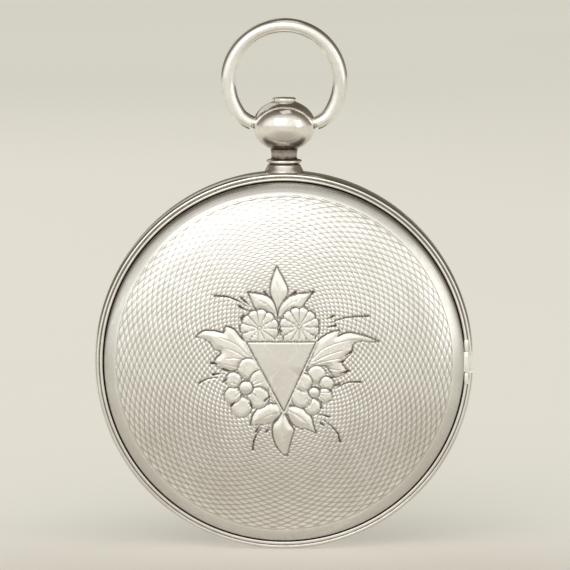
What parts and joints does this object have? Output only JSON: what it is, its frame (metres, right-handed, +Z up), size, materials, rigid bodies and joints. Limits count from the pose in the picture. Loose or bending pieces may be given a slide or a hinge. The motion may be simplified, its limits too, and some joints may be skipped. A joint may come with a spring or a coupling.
{
  "type": "fob watch",
  "caption": "Silver open-face fob watch with an engine-turned sprung back, hinged inner cover, bezel, bar movement, dial, hands and a swinging bow.",
  "frame": {"origin": "centre of the flat middle of the back cover, on the axis of the hands", "axes": "+Z up through the pendant, -Y out of the engraved back, +Y out of the dial, +X to the right seen from the back"},
  "size_m": [0.044, 0.0124, 0.0618],
  "materials": {
    "silver": "polished",
    "gilt_brass": "satin",
    "brass": "satin",
    "steel": "polished",
    "blued_steel": "polished",
    "enamel": "gloss",
    "glass": "gloss"
  },
  "bodies": {
    "case": {"case_band": "silver", "pendant_neck": "silver", "pendant_ball": "silver", "fly_spring": "steel", "back_cover_hinge_pin": "steel", "cuvette_hinge_pin": "steel", "bezel_hinge_pin": "steel", "push_piece_spring": "steel", "main_plate": "gilt_brass", "barrel_bridge": "gilt_brass", "centre_cock": "gilt_brass", "third_cock": "gilt_brass", "fourth_cock": "gilt_brass", "escape_cock": "gilt_brass", "pallet_cock": "gilt_brass", "balance_cock": "gilt_brass", "barrel_bridge_screw_left": "blued_steel", "barrel_bridge_screw_right": "blued_steel", "centre_cock_screw": "blued_steel", "third_cock_screw": "blued_steel", "fourth_cock_screw": "blued_steel", "escape_cock_screw": "blued_steel", "pallet_cock_screw": "blued_steel", "balance_cock_screw": "blued_steel", "case_screw_right": "blued_steel", "case_screw_left": "blued_steel", "click_spring": "steel", "hairspring": "blued_steel", "dial": "enamel"},
    "back_cover": {"back_cover": "silver"},
    "cuvette": {"cuvette": "silver"},
    "bezel": {"bezel": "silver", "crystal": "glass"},
    "bow": {"bow": "silver"},
    "push_piece": {"push_piece": "silver"},
    "lock_spring": {"lock_spring": "steel"},
    "barrel": {"barrel": "brass", "barrel_lid": "brass", "mainspring": "steel"},
    "winding_arbor": {"barrel_arbor": "steel", "ratchet_wheel": "steel"},
    "click": {"click": "steel"},
    "centre_arbor": {"centre_wheel": "brass", "centre_pinion": "steel"},
    "third_arbor": {"third_wheel": "brass", "third_pinion": "steel"},
    "fourth_arbor": {"fourth_wheel": "brass", "fourth_pinion": "steel", "seconds_hand": "blued_steel"},
    "escape_arbor": {"escape_wheel": "steel", "escape_pinion": "steel"},
    "pallets": {"pallet_fork": "steel"},
    "balance": {"balance_wheel": "brass", "balance_staff": "steel"},
    "regulator": {"regulator": "steel"},
    "hand_setting_arbor": {"cannon_pinion": "steel", "minute_hand": "blued_steel"},
    "minute_wheel": {"minute_wheel": "brass"},
    "hour_wheel": {"hour_wheel": "brass", "hour_hand": "blued_steel"}
  },
  "joints": [
    {"name": "back_cover_hinge", "type": "hinge", "parent": "case", "child": "back_cover", "pos_m": [0.0211, 0.00345, 0], "axis": [0, 0, 1], "range_deg": [0, 100]},
    {"name": "cuvette_hinge", "type": "hinge", "parent": "case", "child": "cuvette", "pos_m": [0.02018, 0.00395, 0], "axis": [0, 0, 1], "range_deg": [0, 92]},
    {"name": "bezel_hinge", "type": "hinge", "parent": "case", "child": "bezel", "pos_m": [-0.02059, 0.009, 0.0059], "axis": [0.2756, 0, 0.9613], "range_deg": [0, 100]},
    {"name": "bow_swing", "type": "hinge", "parent": "case", "child": "bow", "pos_m": [0, 0.00615, 0.0274], "axis": [1, 0, 0], "range_deg": [-125, 125]},
    {"name": "push_piece_press", "type": "slide", "parent": "case", "child": "push_piece", "axis": [0, 0, -1], "range_m": [0, 0.0005], "stiffness_N_per_m": 1500, "deforming": ["push_piece_spring"]},
    {"name": "lock_spring_flex", "type": "hinge", "parent": "case", "child": "lock_spring", "pos_m": [-0.01715, 0.0054, 0.0099], "axis": [0, 1, 0], "range_deg": [0, 2]},
    {"name": "winding_square_turn", "type": "hinge", "parent": "case", "child": "winding_arbor", "pos_m": [0.00233, 0, 0.00869], "axis": [0, -1, 0], "range_deg": [0, 1440]},
    {"name": "click_lift", "type": "hinge", "parent": "case", "child": "click", "pos_m": [0.0069, 0, 0.0104], "axis": [0, 1, 0], "range_deg": [0, 6]},
    {"name": "fourth_arbor_turn", "type": "hinge", "parent": "case", "child": "fourth_arbor", "pos_m": [0, 0, -0.0085], "axis": [0, -1, 0], "continuous": true},
    {"name": "third_arbor_turn", "type": "hinge", "parent": "case", "child": "third_arbor", "pos_m": [0.00363, 0, -0.00492], "axis": [0, -1, 0], "continuous": true},
    {"name": "centre_arbor_turn", "type": "hinge", "parent": "case", "child": "centre_arbor", "pos_m": [0, 0, 0], "axis": [0, -1, 0], "continuous": true},
    {"name": "barrel_turn", "type": "hinge", "parent": "case", "child": "barrel", "pos_m": [0.00233, 0, 0.00869], "axis": [0, -1, 0], "continuous": true},
    {"name": "escape_arbor_turn", "type": "hinge", "parent": "case", "child": "escape_arbor", "pos_m": [-0.0042, 0, -0.00934], "axis": [0, -1, 0], "continuous": true},
    {"name": "pallet_fork_rock", "type": "hinge", "parent": "case", "child": "pallets", "pos_m": [-0.0069, 0, -0.0081], "axis": [0, -1, 0], "range_deg": [-4, 4]},
    {"name": "balance_swing", "type": "hinge", "parent": "case", "child": "balance", "pos_m": [-0.0105, 0, -0.00526], "axis": [0, -1, 0], "range_deg": [-270, 270], "stiffness_Nm_per_rad": 0.0000014},
    {"name": "regulator_turn", "type": "hinge", "parent": "case", "child": "regulator", "pos_m": [-0.0105, 0, -0.00526], "axis": [0, -1, 0], "range_deg": [-15, 15]},
    {"name": "hands_setting_turn", "type": "hinge", "parent": "case", "child": "hand_setting_arbor", "pos_m": [0, 0, 0], "axis": [0, -1, 0], "continuous": true},
    {"name": "minute_wheel_turn", "type": "hinge", "parent": "case", "child": "minute_wheel", "pos_m": [-0.00338, 0, -0.00124], "axis": [0, -1, 0], "continuous": true},
    {"name": "hour_wheel_turn", "type": "hinge", "parent": "case", "child": "hour_wheel", "pos_m": [0, 0, 0], "axis": [0, -1, 0], "continuous": true}
  ],
  "couplings": [
    {"joint": "cuvette_hinge", "follows": "back_cover_hinge", "ratio": 0.9},
    {"joint": "lock_spring_flex", "follows": "push_piece_press", "rad_per_m": 58.3},
    {"joint": "third_arbor_turn", "follows": "fourth_arbor_turn", "ratio": -0.13333},
    {"joint": "centre_arbor_turn", "follows": "fourth_arbor_turn", "ratio": 0.016667},
    {"joint": "barrel_turn", "follows": "fourth_arbor_turn", "ratio": -0.0020833},
    {"joint": "escape_arbor_turn", "follows": "fourth_arbor_turn", "ratio": -10},
    {"joint": "minute_wheel_turn", "follows": "hands_setting_turn", "ratio": -0.33333},
    {"joint": "hour_wheel_turn", "follows": "hands_setting_turn", "ratio": 0.083333}
  ]
}
